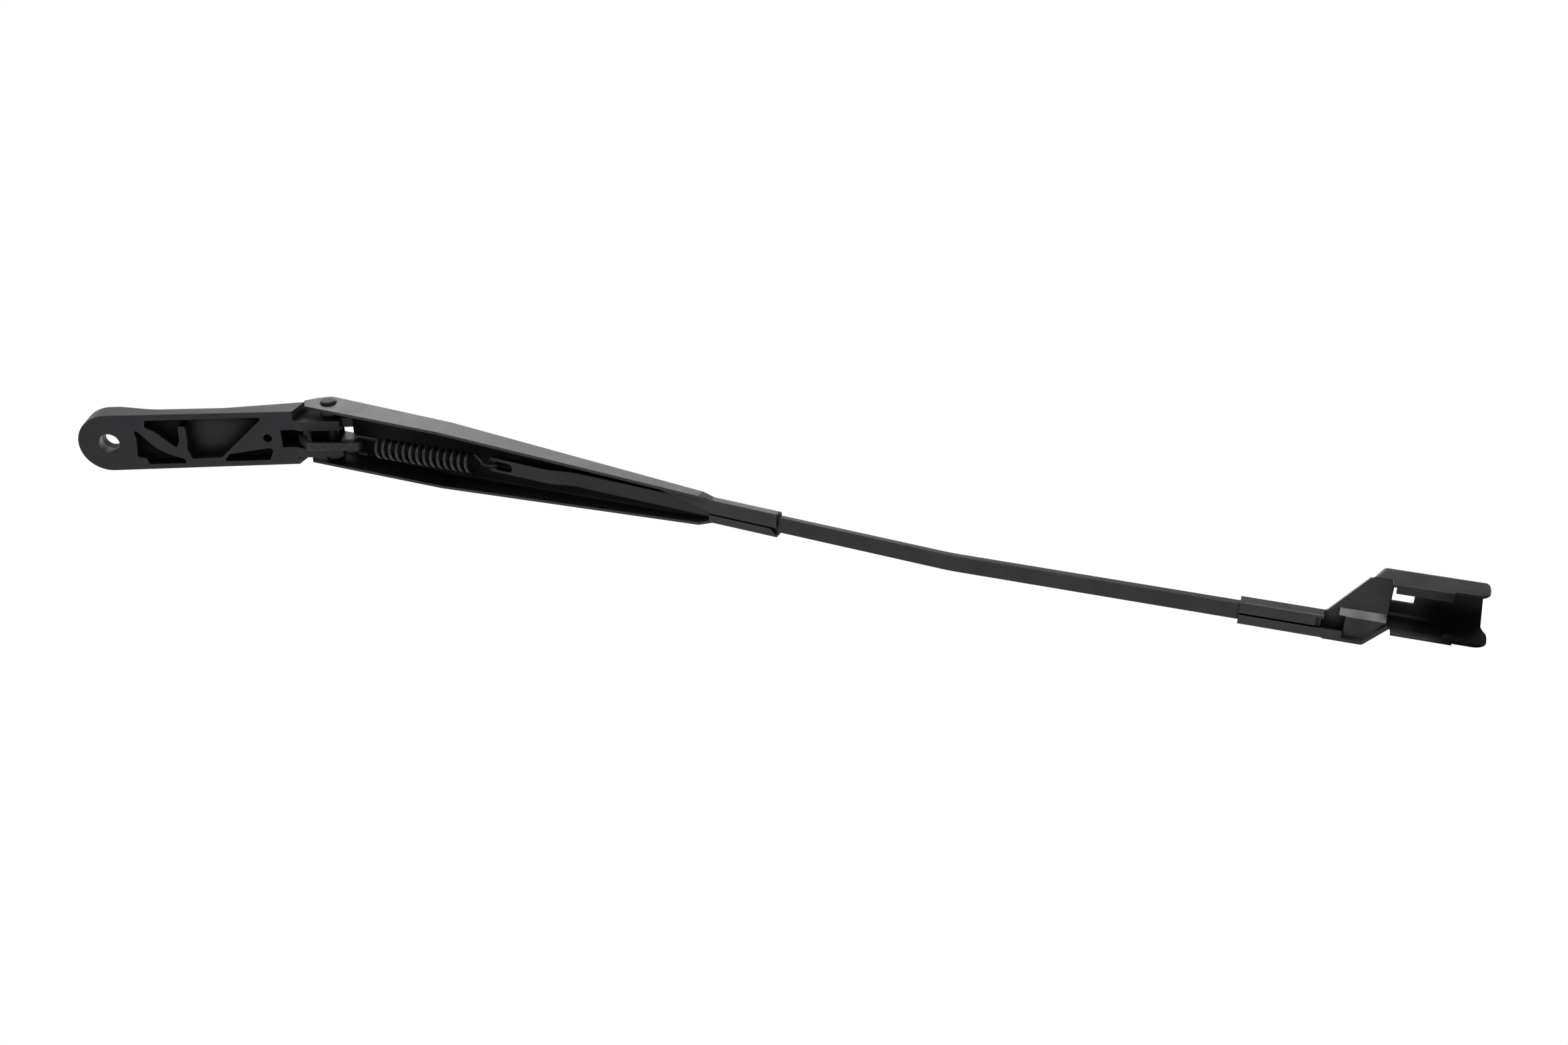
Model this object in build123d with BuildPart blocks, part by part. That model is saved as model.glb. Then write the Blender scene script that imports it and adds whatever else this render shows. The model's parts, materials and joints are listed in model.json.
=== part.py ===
"""Windscreen wiper arm: a cast head on a spindle, a sprung channel, a flat rod and a blade holder.

Millimetres. The origin is on the spindle axis at the underside of the head, +Z points away from the
glass and +X runs along the head towards the tip. The arm hangs folded about its hinge pin, as it does
when the spring pulls it onto its stop.
"""
from math import asin, atan2, cos, hypot, radians, sin, sqrt
import os

from build123d import *

# Spindle seat and cast head
boss_radius = 14.5
boss_height = 13.6
bore_radius = 5.0
bore_straight = 6.0
bore_top_radius = 4.2
nut_seat_radius = 9.5
nut_seat_depth = 4.5
head_half_width = 14.0
head_waist_height = 9.2
shoulder_height = 14.4
shoulder_gap = 3.7
shoulder_lean = 4.8
shoulder_corner = 3.5
head_edge_round = 3.0
head_foot_round = 0.7

# Underside pockets of the head
pocket_wall = 2.4
pocket_roof = 2.6
pocket_corner = 0.8
pocket_outlines = [
    [
        (0.141, -0.617),
        (0.150, -0.167),
        (0.137, 0.634),
        (0.183, 0.722),
        (0.192, 1.000),
        (0.397, 1.000),
        (0.385, 0.793),
        (0.311, 0.581),
        (0.240, 0.211),
        (0.163, -0.493),
    ],
    [
        (0.210, -1.000),
        (0.832, -1.000),
        (0.822, -0.855),
        (0.588, 0.784),
        (0.430, 0.811),
        (0.409, 0.370),
        (0.418, -0.009),
        (0.418, -0.670),
        (0.382, -0.687),
        (0.375, -0.044),
        (0.356, 0.282),
        (0.248, -0.502),
        (0.203, -0.687),
    ],
    [
        (0.596, 0.969),
        (0.631, 0.634),
        (0.853, 0.405),
        (0.872, 0.493),
        (0.847, 0.969),
    ],
]
web_hole_setback = 6.6
web_hole_y = -0.5
web_hole_radius = 2.1
web_hole_depth = 5.0

# Hinge
hinge_x = 105.0
hinge_z = 8.0
fold_angle = 29.3
slot_half_width = 4.6
slot_reach = 12.5
slot_roof_reach = 5.0
slot_roof_thickness = 2.8
prong_half_width = 9.4
prong_end_radius = 6.4
prong_drop = 2.2
nose_reach = 12.0
nose_low_z = 1.7
nose_headroom = 0.6
nose_pad = 2.3
pin_radius = 2.8
running_clearance = 0.06
rivet_head_radius = 3.8
rivet_head_height = 1.3
bush_radius = 4.5
bush_side_gap = 0.15

# Spring anchor and link
anchor_setback = 10.5
anchor_z = 1.0
anchor_radius = 2.0
anchor_half_length = 8.0
link_thickness = 2.2
link_half_width = 1.8
link_reach = 26.2
link_bow = 10.9
link_lead_angle = 57.0
seat_clearance = 0.12

# Pressed channel
sheet = 1.3
crown_height = 8.8
crown_round = 2.6
ear_radius = 12.7
ear_tip_drop = 3.3
ear_tip_round = 1.5
crown_notch = 6.5
crown_notch_half_width = 10.0
crown_notch_corner = 3.0
hinge_half_width = 15.1
hinge_skirt = 8.6
kink_s = 68.0
kink_half_width = 14.75
kink_skirt = 5.4
neck_s = 203.0
neck_half_width = 7.2
neck_skirt = -1.7
neck_run = 5.5
crimp_length = 32.4
crimp_side = 1.85
crimp_flap = 1.6
crimp_edge_round = 0.8
crimp_seam = 0.9
crimp_seam_y = 1.2
flap_corner = 3.3
fold_in_length = 40.0

# Flat rod
rod_width = 7.4
rod_thickness = 3.0
rod_edge_round = 0.5
rod_clearance = 0.05
rod_inner_s = 91.5
hook_headroom = 0.3
rod_drop_s = 124.0
rod_drop_run = 12.0
rod_drop_bend = 14.0
rod_bend_s = 320.0
rod_bend_radius = 70.0
rod_tip_angle = 23.2
rod_end_setback = 2.5
eye_bar = 3.0
eye_length = 10.0
eye_width = 4.4

# Spring
wire_radius = 0.95
wire_sides = 8
wire_lap = 0.4
coil_radius = 4.2
coil_turns = 14
coil_start = 13.7
hook_crank = 5.0
hook_straight = 2.6
hook_crank_bend = 2.5

# Blade holder
holder_start = 119.0
holder_lead = 2.2
holder_crimp_length = 31.0
holder_seam = 1.0
holder_seam_y = 0.3
neck_plate_edge = 30.0
hood_root = 43.2
hood_start = 47.6
hood_end = 87.0
hood_skew = 0.12
hood_half_width = 11.1
hood_offset = 12.3
hood_crown = 11.8
hood_foot = 2.8
hood_round = 3.0
hood_tip_round = 5.5
wall_start = 52.4
window_start = 53.0
window_length = 8.0
window_width = 7.0
lip_length = 22.0
lip_setback = 1.8
lip_width = 1.9
tab_length = 3.5
shelf_start = 37.0
shelf_side = 5.4
shelf_drop = 1.5
riser_run = 2.2
riser_lead = 2.5
wall_turn_s = 44.2
wall_join_s = 52.2
wall_join_inset = 2.2
flap_setback = 4.5
flap_overrun = 5.0
side_setback = 1.8
shelf_corner_s = 46.3
shelf_corner_y = 1.6
plate_end = 51.8

os.makedirs("parts", exist_ok=True)

fold = radians(fold_angle)
along = Vector(cos(fold), 0, -sin(fold))
above = Vector(sin(fold), 0, cos(fold))
hinge_point = Vector(hinge_x, 0, hinge_z)
side_plane = Plane(origin=(0, 0, 0), x_dir=(1, 0, 0), z_dir=(0, -1, 0))
fold_plane = Plane(origin=hinge_point, x_dir=along, z_dir=above)
fold_side = Plane(origin=hinge_point, x_dir=along, z_dir=(0, -1, 0))
hinge_axis_plane = Plane(origin=hinge_point, x_dir=(1, 0, 0), z_dir=(0, -1, 0))


def fold_point(s, n):
    """Point on the mid plane at s along the channel and n above the hinge pin."""
    return hinge_point + along * s + above * n


def plane_across(origin, direction):
    """Section plane whose own x axis is +Y and whose normal is the given direction."""
    return Plane(origin=origin, x_dir=(0, 1, 0), z_dir=direction)


shoulder_x = hinge_x - ear_radius - shoulder_gap
anchor_x = hinge_x - anchor_setback
slot_start_x = anchor_x - slot_reach
slot_roof_end_x = hinge_x + slot_roof_reach
web_hole_x = slot_start_x - web_hole_setback
rod_tip_length = holder_start + holder_crimp_length - rod_end_setback
hook_radius = hypot(eye_bar, rod_thickness) / 2 + wire_radius + seat_clearance
rod_inner_drop = hook_radius + wire_radius + hook_headroom - rod_thickness / 2
rod_top = crown_height - sheet
rod_mid = rod_top - rod_thickness / 2
rod_under = rod_top - rod_thickness
crimp_s = neck_s + neck_run
crimp_half_width = rod_width / 2 + rod_clearance + crimp_side
crimp_under = rod_under - rod_clearance - crimp_flap
crimp_end = crimp_s + crimp_length
fold_in_s = crimp_s - fold_in_length
wall_inner = hinge_half_width - sheet

# Pockets under the head, as shares of its length and of its inner half width
with BuildPart() as pocket_tool:
    pocket_y = head_half_width - pocket_wall
    with BuildSketch():
        for outline in pocket_outlines:
            with BuildLine():
                Polyline(*[(x * shoulder_x, y * pocket_y) for x, y in outline], close=True)
            make_face()
    extrude(amount=head_waist_height - pocket_roof)
    fillet(edges().filter_by(Axis.Z), pocket_corner)

# Mounting head
with BuildPart() as mounting_head:
    with BuildSketch():
        Circle(boss_radius)
        corner_y = head_half_width - shoulder_corner
        corner_x = shoulder_x + shoulder_lean + shoulder_corner
        with Locations((corner_x, corner_y), (corner_x, -corner_y)):
            Circle(shoulder_corner)
        make_hull()
    extrude(amount=boss_height + shoulder_height)
    rise_x = shoulder_x * 0.62
    shoulder_end = shoulder_x + shoulder_lean
    with BuildSketch(side_plane):
        with BuildLine():
            top_line = FilletPolyline(
                (-2 * boss_radius, boss_height),
                (boss_radius * 0.35, boss_height),
                (boss_radius * 1.5, head_waist_height),
                (rise_x, head_waist_height),
                (2 * shoulder_end - rise_x, 2 * shoulder_height - head_waist_height),
                radius=[2 * head_edge_round, 12 * head_edge_round, 12 * head_edge_round],
            )
            Polyline(
                top_line @ 1,
                (2 * shoulder_end - rise_x, 0),
                (-2 * boss_radius, 0),
                top_line @ 0,
            )
        make_face()
    extrude(amount=2 * head_half_width, both=True, mode=Mode.INTERSECT)
    top_faces = faces().filter_by(lambda f: f.normal_at().Z > 0.8)
    rim = [e for e in top_faces.edges() if abs(e.center().Y) > 1 or e.center().X > shoulder_end - 0.01]
    fillet(rim, head_edge_round)
    fillet(faces().sort_by(Axis.Z)[0].edges(), head_foot_round)
    # Shoulder ends cut off square, leaning out towards the top
    with BuildSketch(side_plane):
        beyond_x = corner_x + 2 * shoulder_corner
        with BuildLine():
            Polyline(
                (shoulder_x - shoulder_lean, -shoulder_height),
                (shoulder_x + 2 * shoulder_lean, 2 * shoulder_height),
                (beyond_x, 2 * shoulder_height),
                (beyond_x, -shoulder_height),
                close=True,
            )
        make_face()
    extrude(amount=2 * head_half_width, both=True, mode=Mode.SUBTRACT)

    # Two hinge prongs that reach past the shoulders
    with BuildSketch(side_plane):
        prong_root = slot_start_x - pocket_wall
        nose_x = hinge_x + nose_reach
        nose_n = crown_height - sheet - nose_headroom
        nose_z = hinge_z + (nose_n - nose_reach * sin(fold)) / cos(fold)
        with BuildLine():
            prong_top = Line((prong_root, head_waist_height), (prong_root + pocket_wall, shoulder_height - 1))
            Line(prong_top @ 1, (hinge_x, hinge_z + prong_end_radius))
            prong_foot = FilletPolyline(
                (hinge_x, hinge_z + prong_end_radius),
                (nose_x, nose_z),
                (nose_x, nose_low_z),
                (hinge_x + prong_end_radius, nose_low_z),
                (hinge_x + prong_end_radius, -prong_drop),
                (anchor_x - anchor_radius, -prong_drop),
                (anchor_x - 2 * anchor_radius - prong_drop, 0),
                (prong_root, 0),
                radius=prong_drop / 2,
            )
            Line(prong_foot @ 1, prong_top @ 0)
        make_face()
    extrude(amount=prong_half_width, both=True)

    # Underside pockets and the blind hole in the web
    add(pocket_tool.part, mode=Mode.SUBTRACT)
    with BuildSketch():
        with Locations((web_hole_x, web_hole_y)):
            Circle(web_hole_radius)
    extrude(amount=web_hole_depth, mode=Mode.SUBTRACT)

    # Clevis slot, closed by a roof above the spring link
    with BuildSketch(side_plane):
        with BuildLine():
            roof_z = shoulder_height - slot_roof_thickness
            Polyline(
                (slot_start_x, -boss_height),
                (slot_start_x, roof_z - 1),
                (slot_start_x + 1, roof_z),
                (slot_roof_end_x, roof_z),
                (slot_roof_end_x, 3 * boss_height),
                (hinge_x + 2 * nose_reach, 3 * boss_height),
                (hinge_x + 2 * nose_reach, -boss_height),
                close=True,
            )
        make_face()
    extrude(amount=slot_half_width, both=True, mode=Mode.SUBTRACT)

    # Pad on the inner face of one nose, which guides the spring link
    with BuildSketch(side_plane.offset(-slot_half_width)):
        pad_top = hinge_z + prong_end_radius
        pad_top -= (slot_roof_reach / nose_reach) * (pad_top - nose_z)
        with BuildLine():
            Polyline(
                (slot_roof_end_x, nose_low_z),
                (nose_x, nose_low_z),
                (nose_x, nose_z),
                (slot_roof_end_x, pad_top),
                close=True,
            )
        make_face()
        fillet(vertices().group_by(Axis.X)[-1], prong_drop / 2)
    extrude(amount=nose_pad)

    # Hinge bore, anchor bore, spindle bore and nut seat
    with BuildSketch(hinge_axis_plane):
        Circle(pin_radius + running_clearance)
        with Locations((anchor_x - hinge_x, anchor_z - hinge_z)):
            Circle(anchor_radius + running_clearance / 2)
    extrude(amount=anchor_half_length, both=True, mode=Mode.SUBTRACT)
    with BuildSketch(hinge_axis_plane):
        Circle(pin_radius + running_clearance)
    extrude(amount=2 * head_half_width, both=True, mode=Mode.SUBTRACT)
    with BuildSketch(side_plane):
        with BuildLine():
            Polyline(
                (0, -1),
                (bore_radius, -1),
                (bore_radius, bore_straight),
                (bore_top_radius, boss_height - nut_seat_depth),
                (nut_seat_radius, boss_height - nut_seat_depth),
                (nut_seat_radius, boss_height + 1),
                (0, boss_height + 1),
                close=True,
            )
        make_face()
    revolve(axis=Axis.Z, mode=Mode.SUBTRACT)
mounting_head.part.label = "mounting_head"

# Anchor pin pressed across the clevis slot
with BuildPart() as anchor_pin:
    with BuildSketch(Plane(origin=(anchor_x, 0, anchor_z), x_dir=(1, 0, 0), z_dir=(0, -1, 0))):
        Circle(anchor_radius)
    extrude(amount=anchor_half_length - running_clearance, both=True)
    chamfer(edges().filter_by(GeomType.CIRCLE), anchor_radius * 0.15)
anchor_pin.part.label = "anchor_pin"


def hinge_bush(side):
    """Spacer ring between a prong and the channel's ear, on the side of the given sign."""
    with BuildPart() as ring:
        start = Plane(
            origin=(hinge_x, side * prong_half_width, hinge_z), x_dir=(1, 0, 0), z_dir=(0, side, 0)
        )
        with BuildSketch(start):
            Circle(bush_radius)
            Circle(pin_radius + running_clearance, mode=Mode.SUBTRACT)
        extrude(amount=wall_inner - bush_side_gap - prong_half_width)
        chamfer(ring.edges().group_by(SortBy.LENGTH)[-1], 0.4)
    return ring.part


hinge_bush_left = hinge_bush(1)
hinge_bush_left.label = "hinge_bush_left"
hinge_bush_right = hinge_bush(-1)
hinge_bush_right.label = "hinge_bush_right"


def wall_y(s):
    """Outer half width of the channel at s, between its kink and its neck."""
    share = (s - kink_s) / (neck_s - kink_s)
    return kink_half_width + share * (neck_half_width - kink_half_width)


# Outer form of the pressed channel with its crimped neck
with BuildPart() as channel_outer:
    plan = [
        (-ear_radius, hinge_half_width),
        (kink_s, kink_half_width),
        (neck_s, neck_half_width),
        (crimp_s, crimp_half_width),
        (crimp_end, crimp_half_width),
    ]
    with BuildSketch(fold_plane):
        with BuildLine():
            Polyline(*plan, *[(s, -y) for s, y in reversed(plan)], close=True)
        make_face()
    extrude(amount=2 * ear_radius, both=True)
    ear_low = sqrt(ear_radius**2 - hinge_skirt**2) * 0.8
    ear_tip = (-sqrt(ear_radius**2 - ear_tip_drop**2), -ear_tip_drop)
    with BuildSketch(fold_side):
        with BuildLine():
            skirt = Polyline(
                ear_tip,
                (-ear_low, -hinge_skirt),
                (kink_s, -kink_skirt),
                (neck_s, -neck_skirt),
                (crimp_s, crimp_under),
                (crimp_end, crimp_under),
                (crimp_end, crown_height),
                (0, crown_height),
            )
            ear_brow = (ear_tip[0] * 0.46, crown_height * 0.55)
            ThreePointArc(skirt @ 1, ear_brow, skirt @ 0)
        make_face()
        fillet(vertices().group_by(Axis.X)[0], ear_tip_round)
    extrude(amount=2 * hinge_half_width, both=True, mode=Mode.INTERSECT)
    crown = faces().sort_by(Axis(hinge_point, above))[-1]
    fillet(crown.edges().filter_by(Axis.Y, reverse=True), crown_round)
    under = faces().filter_by(
        lambda f: f.normal_at().dot(above) < -0.999 and (f.center() - hinge_point).dot(along) > crimp_s
    )
    fillet(under.edges().filter_by(lambda e: abs(e.center().Y) > 1), crimp_edge_round)

# Hollow of the channel, open below and at the hinge end
with BuildPart() as channel_hollow:
    hollow_plan = [(s, y - sheet) for s, y in plan[1:3]]
    hollow_end = (crimp_s - rod_thickness * 0.2, crimp_half_width - sheet)
    hollow_start = (-2 * ear_radius, hinge_half_width - sheet)
    hollow_half = [hollow_start, *hollow_plan, hollow_end]
    with BuildSketch(fold_plane.offset(-3 * ear_radius)):
        with BuildLine():
            Polyline(*hollow_half, *[(s, -y) for s, y in reversed(hollow_half)], close=True)
        make_face()
    extrude(amount=3 * ear_radius + crown_height - sheet)
    hollow_crown = faces().sort_by(Axis(hinge_point, above))[-1]
    hollow_edges = hollow_crown.edges().filter_by(Axis.Y, reverse=True)
    fillet(hollow_edges.filter_by(lambda e: e.length > sheet * 5), crown_round - sheet)

# Retainer: the channel as folded sheet, closed round the rod at its neck
with BuildPart() as retainer:
    add(channel_outer.part)
    add(channel_hollow.part, mode=Mode.SUBTRACT)
    # Rod passage and the seam between the two folded flaps
    with BuildSketch(plane_across(fold_point(neck_s - sheet, 0), along)):
        with Locations((0, rod_mid)):
            Rectangle(rod_width + 2 * rod_clearance, rod_thickness + 2 * rod_clearance)
        with Locations((crimp_seam_y, crimp_under)):
            Rectangle(crimp_seam, rod_thickness)
    extrude(amount=crimp_length + 2 * (crimp_s - neck_s), mode=Mode.SUBTRACT)
    # One flap has its corner cut off, the other starts to fold in along the neck
    with BuildSketch(fold_plane.offset(crimp_under - sheet)):
        with BuildLine():
            Polyline(
                (crimp_end - flap_corner, crimp_seam_y),
                (crimp_end + sheet, crimp_seam_y),
                (crimp_end + sheet, crimp_half_width),
                (crimp_end, crimp_half_width - crimp_edge_round),
                close=True,
            )
        make_face()
    extrude(amount=sheet + crimp_flap + rod_clearance, mode=Mode.SUBTRACT)
    with BuildSketch(fold_plane.offset(crimp_under)):
        with BuildLine():
            Polyline(
                (fold_in_s, -wall_y(fold_in_s)),
                (neck_s, -wall_y(neck_s)),
                (crimp_s + sheet, -crimp_half_width),
                (crimp_s + sheet, crimp_seam_y - crimp_seam / 2),
                close=True,
            )
        make_face()
    extrude(amount=crimp_flap)
    # Crown cut back between the ears so that the channel can lift
    with BuildSketch(fold_plane):
        with Locations((crown_notch - 2 * ear_radius, 0)):
            RectangleRounded(4 * ear_radius, 2 * crown_notch_half_width, crown_notch_corner)
    extrude(amount=2 * crown_height, mode=Mode.SUBTRACT)
    with BuildSketch(fold_side):
        Circle(pin_radius + running_clearance / 2)
    extrude(amount=2 * hinge_half_width, both=True, mode=Mode.SUBTRACT)
retainer.part.label = "retainer"

# Hinge pin with two rivet heads
with BuildPart() as hinge_pin:
    with BuildSketch(hinge_axis_plane):
        Circle(pin_radius)
    extrude(amount=hinge_half_width, both=True)
    for side in (-1, 1):
        outer_face = (hinge_x, side * hinge_half_width, hinge_z)
        with BuildSketch(Plane(origin=outer_face, x_dir=(1, 0, 0), z_dir=(0, side, 0))):
            Circle(rivet_head_radius)
        extrude(amount=rivet_head_height)
        outer_rim = faces().sort_by(Axis.Y)[-1 if side > 0 else 0].edges()
        fillet(outer_rim, rivet_head_height * 0.8)
hinge_pin.part.label = "hinge_pin"

# Flat rod, joggled off the crown at its inner end and bent once towards the tip
tip = radians(rod_tip_angle)
tip_along = Vector(cos(tip), 0, -sin(tip))
tip_above = Vector(sin(tip), 0, cos(tip))
rod_bend = fold_point(rod_bend_s, rod_mid)
rod_tip = rod_bend + tip_along * rod_tip_length
with BuildPart() as rod:
    with BuildLine() as rod_path:
        FilletPolyline(
            fold_point(rod_inner_s, rod_mid - rod_inner_drop),
            fold_point(rod_drop_s, rod_mid - rod_inner_drop),
            fold_point(rod_drop_s + rod_drop_run, rod_mid),
            rod_bend,
            rod_tip,
            radius=[rod_drop_bend, rod_drop_bend, rod_bend_radius],
        )
    with BuildSketch(plane_across(fold_point(rod_inner_s, rod_mid - rod_inner_drop), along)):
        RectangleRounded(rod_width, rod_thickness, rod_edge_round)
    sweep()
    # Eye for the spring hook, and the rounded inner end
    eye_s = rod_inner_s + eye_bar + eye_length / 2
    with BuildSketch(fold_plane):
        with Locations((eye_s, 0)):
            SlotOverall(eye_length, eye_width)
    extrude(amount=crown_height, mode=Mode.SUBTRACT)
    with BuildSketch(fold_plane):
        with Locations((rod_inner_s + rod_width, 0)):
            Rectangle(2 * rod_width, 2 * rod_width)
            RectangleRounded(2 * rod_width, rod_width, rod_width * 0.3, mode=Mode.SUBTRACT)
        with Locations((rod_inner_s + rod_width * 1.5, 0)):
            Rectangle(2 * rod_width, 3 * rod_width, mode=Mode.SUBTRACT)
    extrude(amount=crown_height, mode=Mode.SUBTRACT)
rod.part.label = "rod"

# Blade holder: crimp, offset neck and hood, pressed from one sheet
holder_origin = rod_bend + tip_along * holder_start
holder_plan = Plane(origin=holder_origin, x_dir=tip_along, z_dir=tip_above)
holder_side = Plane(origin=holder_origin, x_dir=tip_along, z_dir=(0, -1, 0))
holder_top = rod_thickness / 2 + rod_clearance + sheet
holder_half_width = rod_width / 2 + rod_clearance + sheet
plate_low = holder_top - sheet
hood_right = -hood_offset - hood_half_width
hood_left = -hood_offset + hood_half_width
tip_axis = Axis(holder_origin, tip_along)
up_axis = Axis(holder_origin, tip_above)
hood_side = Plane(origin=holder_origin - Vector(0, hood_offset, 0), x_dir=tip_along, z_dir=(0, -1, 0))
root_lean = (hood_start - hood_root) / (hood_crown - plate_low)


def hood_block(inset, foot):
    """Hood outline with a leaning root wall, set in by inset and reaching down to foot."""
    with BuildPart() as block:
        root_low = hood_root + inset - root_lean * (plate_low - foot)
        root_high = hood_start + inset - root_lean * inset
        with BuildSketch(hood_side):
            with BuildLine():
                Polyline(
                    (root_low, foot),
                    (hood_end + hood_crown, foot),
                    (hood_end + hood_crown, hood_crown - inset),
                    (root_high, hood_crown - inset),
                    close=True,
                )
            make_face()
        extrude(amount=hood_half_width - inset, both=True)
        rounded = faces().sort_by(up_axis)[-1].edges().sort_by(tip_axis)[:-1]
        rounded += faces().sort_by(tip_axis)[0].edges().filter_by(Axis.Y, reverse=True)
        fillet(rounded, hood_round - inset)
    return block.part


hood_outer = hood_block(0, -hood_foot)
hood_inner = hood_block(sheet, -hood_foot - hood_crown)
with BuildPart() as hood:
    add(hood_outer)
    add(hood_inner, mode=Mode.SUBTRACT)
    # Open root below the neck plate, plain free edges past the lips, and rounded wall ends
    with BuildSketch(hood_side):
        lip_end = wall_start + lip_length
        with BuildLine():
            Polyline(
                (hood_root - hood_crown, plate_low),
                (wall_start, plate_low),
                (wall_start, -hood_foot),
                (lip_end, -hood_foot),
                (lip_end, sheet - hood_foot),
                (hood_end, sheet - hood_foot),
                (hood_end, hood_crown),
                (hood_root - hood_crown, hood_crown),
                close=True,
            )
        make_face()
        fillet(vertices().group_by(Axis.X)[-1], hood_tip_round)
    skewed = Vector(0, 1, 0) + tip_along * hood_skew
    extrude(amount=2 * hood_half_width, dir=skewed, both=True, mode=Mode.INTERSECT)
    # Latch window in the crown
    with BuildSketch(holder_plan):
        with Locations((window_start + window_length / 2, -hood_offset)):
            RectangleRounded(window_length, window_width, sheet / 2)
    extrude(amount=2 * hood_crown, mode=Mode.SUBTRACT)

with BuildPart() as end_piece:
    add(hood.part)
    # Inward lip on one wall and a short tab on the other
    with BuildSketch(holder_plan.offset(-hood_foot)):
        lip_y = hood_half_width - sheet - lip_width / 2
        lip_mid = wall_start + (lip_length + lip_setback) / 2 - hood_half_width * hood_skew
        with Locations((lip_mid, -hood_offset - lip_y)):
            Rectangle(lip_length - lip_setback, lip_width + sheet)
        tab_mid = wall_start + lip_length - tab_length / 2 + hood_half_width * hood_skew
        with Locations((tab_mid, -hood_offset + lip_y)):
            Rectangle(tab_length, lip_width + sheet)
    extrude(amount=sheet)
    # Crimp round the rod
    with BuildSketch(plane_across(holder_origin - tip_along * holder_lead, tip_along)):
        RectangleRounded(2 * holder_half_width, 2 * holder_top, crimp_edge_round)
    extrude(amount=holder_crimp_length + holder_lead)
    # Neck plate that carries the hood sideways
    wall_join_y = hood_left - wall_join_inset
    with BuildSketch(holder_plan.offset(plate_low)):
        with BuildLine():
            Polyline(
                (holder_crimp_length - sheet, holder_half_width),
                (holder_crimp_length - sheet, -holder_half_width),
                (neck_plate_edge, -holder_half_width),
                (hood_root, hood_right + hood_round / 2),
                (plate_end, hood_right + hood_round / 2),
                (plate_end, wall_join_y),
                (wall_join_s, wall_join_y),
                (wall_turn_s, holder_half_width),
                close=True,
            )
        make_face()
    extrude(amount=sheet)
    # Shelf pressed down to the rod's underside, with its risers
    with BuildSketch(holder_plan.offset(-shelf_drop)):
        with BuildLine():
            Polyline(
                (shelf_start, holder_half_width),
                (shelf_start, -shelf_side),
                (plate_end, -shelf_side),
                (shelf_corner_s, shelf_corner_y),
                (wall_turn_s, holder_half_width),
                close=True,
            )
        make_face()
    extrude(amount=holder_top + shelf_drop)
    with BuildSketch(plane_across(holder_origin + tip_along * (shelf_start - riser_lead), tip_along)):
        with BuildLine():
            Polyline(
                (-shelf_side, -shelf_drop),
                (-shelf_side, holder_top),
                (-shelf_side - riser_run, holder_top),
                (-shelf_side - riser_run, plate_low),
                close=True,
            )
        make_face()
    extrude(amount=plate_end - shelf_start + riser_lead)
    # Side wall of the crimp carried on along the neck to the hood
    with BuildSketch(holder_plan.offset(-holder_top)):
        with BuildLine():
            FilletPolyline(
                (holder_crimp_length - sheet, holder_half_width - sheet / 2),
                (wall_turn_s, holder_half_width - sheet / 2),
                (wall_join_s, wall_join_y - sheet / 2),
                radius=sheet,
            )
        trace(line_width=sheet)
    extrude(amount=holder_top + hood_crown * 0.5)
    # One flap runs on past the crimp
    with BuildSketch(holder_plan.offset(-holder_top)):
        flap_inner = holder_seam_y + holder_seam / 2
        flap_width = holder_half_width - sheet / 2 - flap_inner
        with Locations((holder_crimp_length + flap_overrun / 2, flap_inner + flap_width / 2)):
            Rectangle(flap_overrun + sheet, flap_width)
    extrude(amount=sheet)
    with BuildSketch(plane_across(holder_origin - tip_along * 2 * holder_lead, tip_along)):
        Rectangle(rod_width + 2 * rod_clearance, rod_thickness + 2 * rod_clearance)
        with Locations((holder_seam_y, -holder_top)):
            Rectangle(holder_seam, rod_thickness)
    extrude(amount=holder_crimp_length + 2 * holder_lead + sheet, mode=Mode.SUBTRACT)
    # The other flap and its side stop short and show the rod's end
    with BuildSketch(holder_plan.offset(-2 * holder_top)):
        flap_y = (holder_seam_y - rod_width / 2) / 2
        with Locations((holder_crimp_length - flap_setback / 2, flap_y)):
            Rectangle(flap_setback, holder_seam_y + rod_width / 2)
    extrude(amount=2 * holder_top, mode=Mode.SUBTRACT)
    with BuildSketch(holder_plan.offset(-2 * holder_top)):
        with Locations((holder_crimp_length - side_setback / 2, -holder_half_width)):
            Rectangle(side_setback, rod_width)
    extrude(amount=2 * holder_top + plate_low, mode=Mode.SUBTRACT)
end_piece.part.label = "end_piece"

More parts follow.
